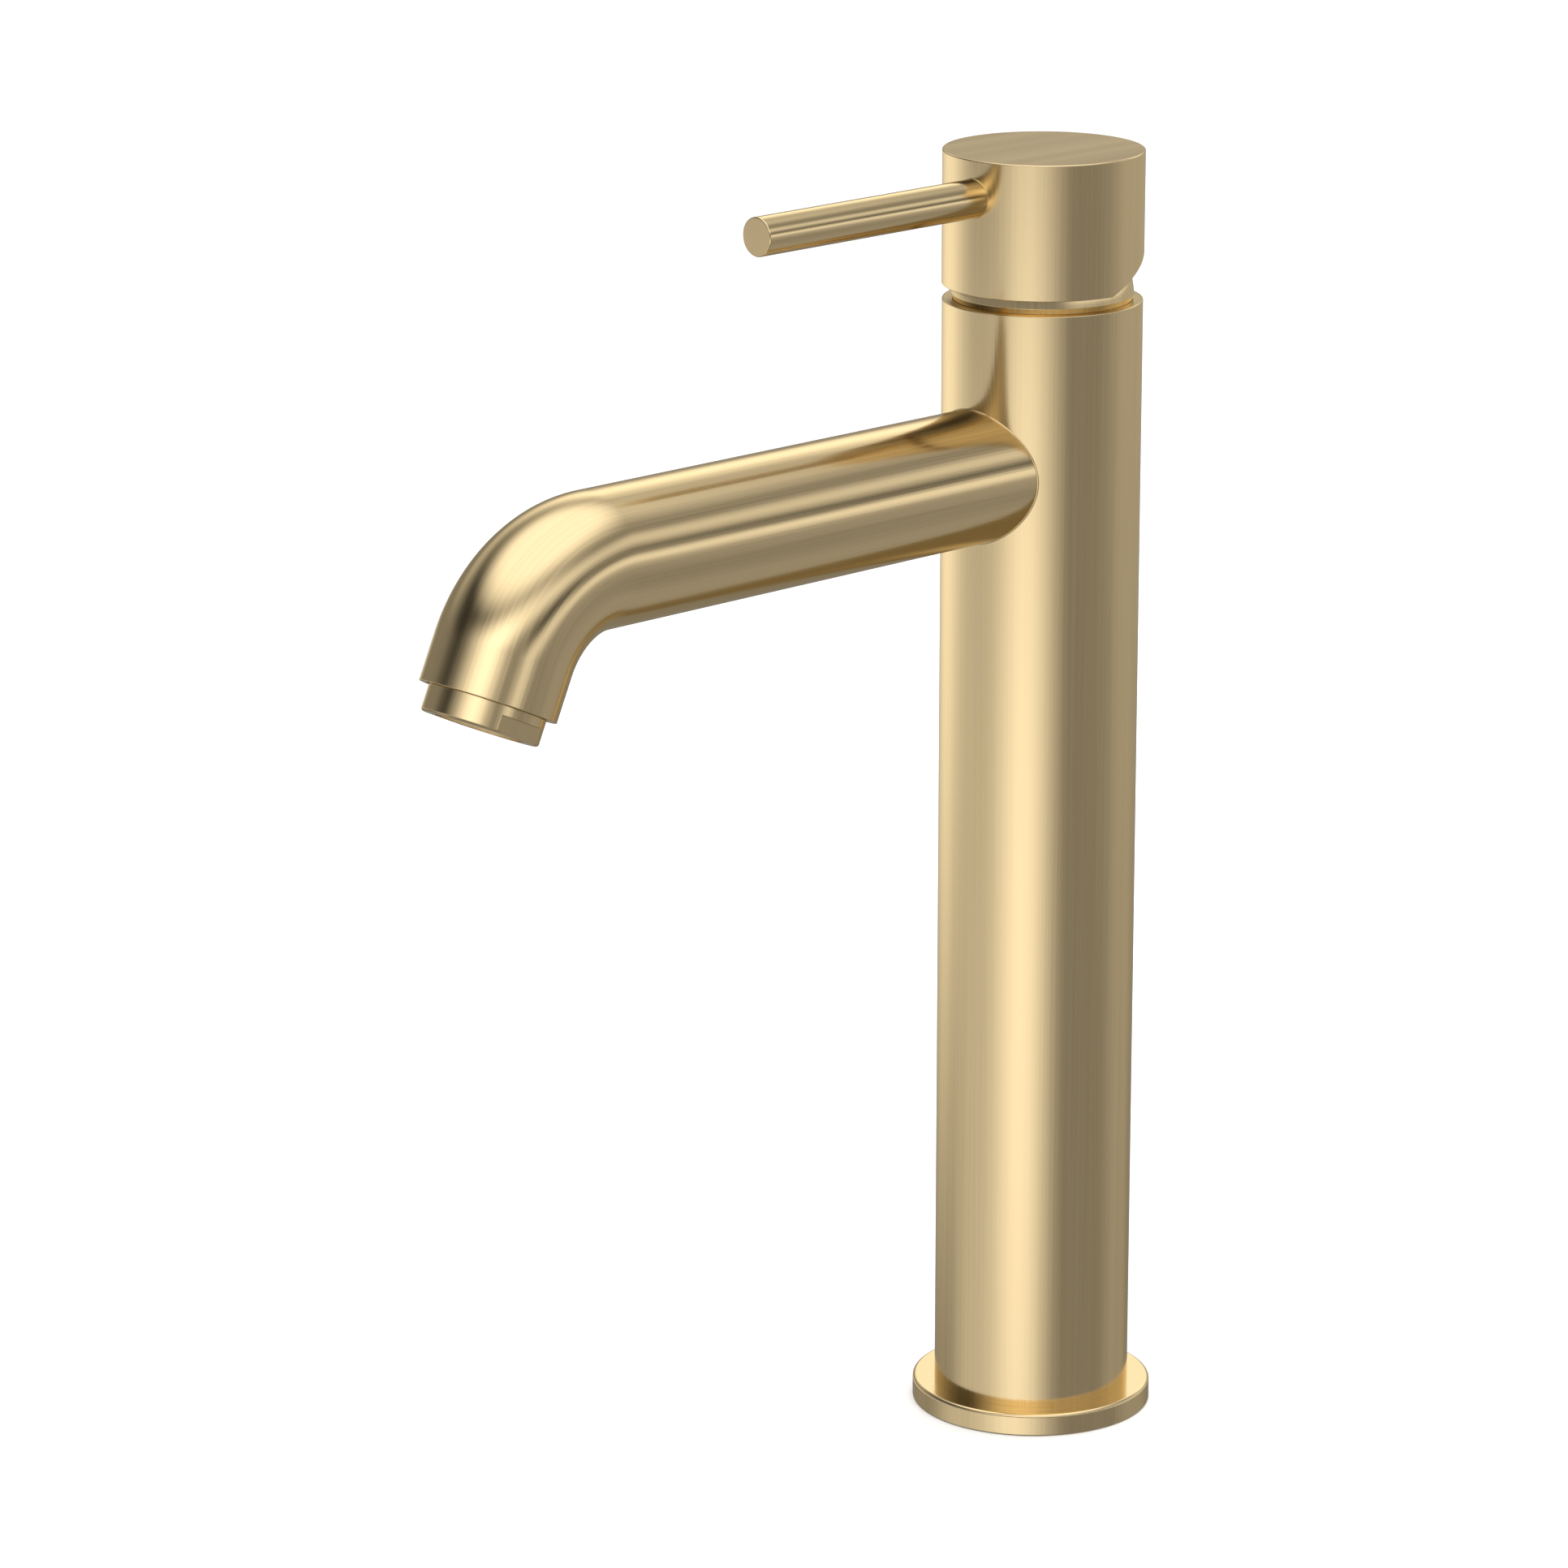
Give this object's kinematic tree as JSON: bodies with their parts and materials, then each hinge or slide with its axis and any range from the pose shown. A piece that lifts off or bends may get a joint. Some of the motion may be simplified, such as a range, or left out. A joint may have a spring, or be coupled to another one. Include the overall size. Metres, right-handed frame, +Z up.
{
  "type": "basin mixer tap",
  "caption": "Tall single-lever basin mixer: plain round column on a flange, bent tube spout with aerator, and a cap with a pin lever that lifts and swivels.",
  "frame": {"origin": "centre of the base on the deck", "axes": "+Z up the column, -Y along the spout, +X to the cold side"},
  "size_m": [0.0552, 0.2079, 0.2943],
  "materials": {
    "brushed_brass": "brushed and lacquered champagne brass",
    "raw_brass": "machined",
    "copper": "drawn copper tube",
    "steel": "plain",
    "spring_steel": "phosphated",
    "black_rubber": "matte",
    "white_plastic": "moulded",
    "grey_plastic": "moulded",
    "ceramic": "lapped alumina, stated as a hard plastic"
  },
  "bodies": {
    "body": {"base_flange": "brushed_brass", "deck_gasket": "black_rubber", "column_tube": "brushed_brass", "base_insert": "raw_brass", "base_retaining_ring": "spring_steel", "riser_hot": "copper", "riser_cold": "copper", "riser_seals": "black_rubber", "valve_body": "raw_brass", "retaining_nut": "raw_brass", "bonnet": "brushed_brass", "cartridge_base": "grey_plastic", "port_seals": "black_rubber", "cartridge_housing": "white_plastic", "fixed_disc": "ceramic", "spout_tube": "brushed_brass", "outlet_bush": "raw_brass", "aerator_washer": "black_rubber", "aerator_housing": "brushed_brass", "aerator_honeycomb": "white_plastic", "aerator_screen": "steel", "flow_regulator": "grey_plastic"},
    "swivel": {"rotor": "white_plastic", "pivot_pin": "steel"},
    "lever": {"lever_stem": "raw_brass", "handle_cap": "brushed_brass", "lever_pin": "brushed_brass", "grub_screw": "steel"},
    "slider": {"moving_disc": "ceramic", "disc_carrier": "grey_plastic"}
  },
  "joints": [
    {"name": "lever_swivel", "type": "hinge", "parent": "body", "child": "swivel", "pos_m": [0, 0, 0.26], "axis": [0, 0, 1], "range_deg": [-50, 50]},
    {"name": "lever_lift", "type": "hinge", "parent": "swivel", "child": "lever", "pos_m": [0, 0, 0.26], "axis": [-1, 0, 0], "range_deg": [0, 24]},
    {"name": "disc_slide", "type": "slide", "parent": "swivel", "child": "slider", "axis": [0, -1, 0], "range_m": [0, 0.0026]}
  ],
  "couplings": [
    {"joint": "disc_slide", "follows": "lever_lift", "m_per_rad": 0.0061174}
  ]
}
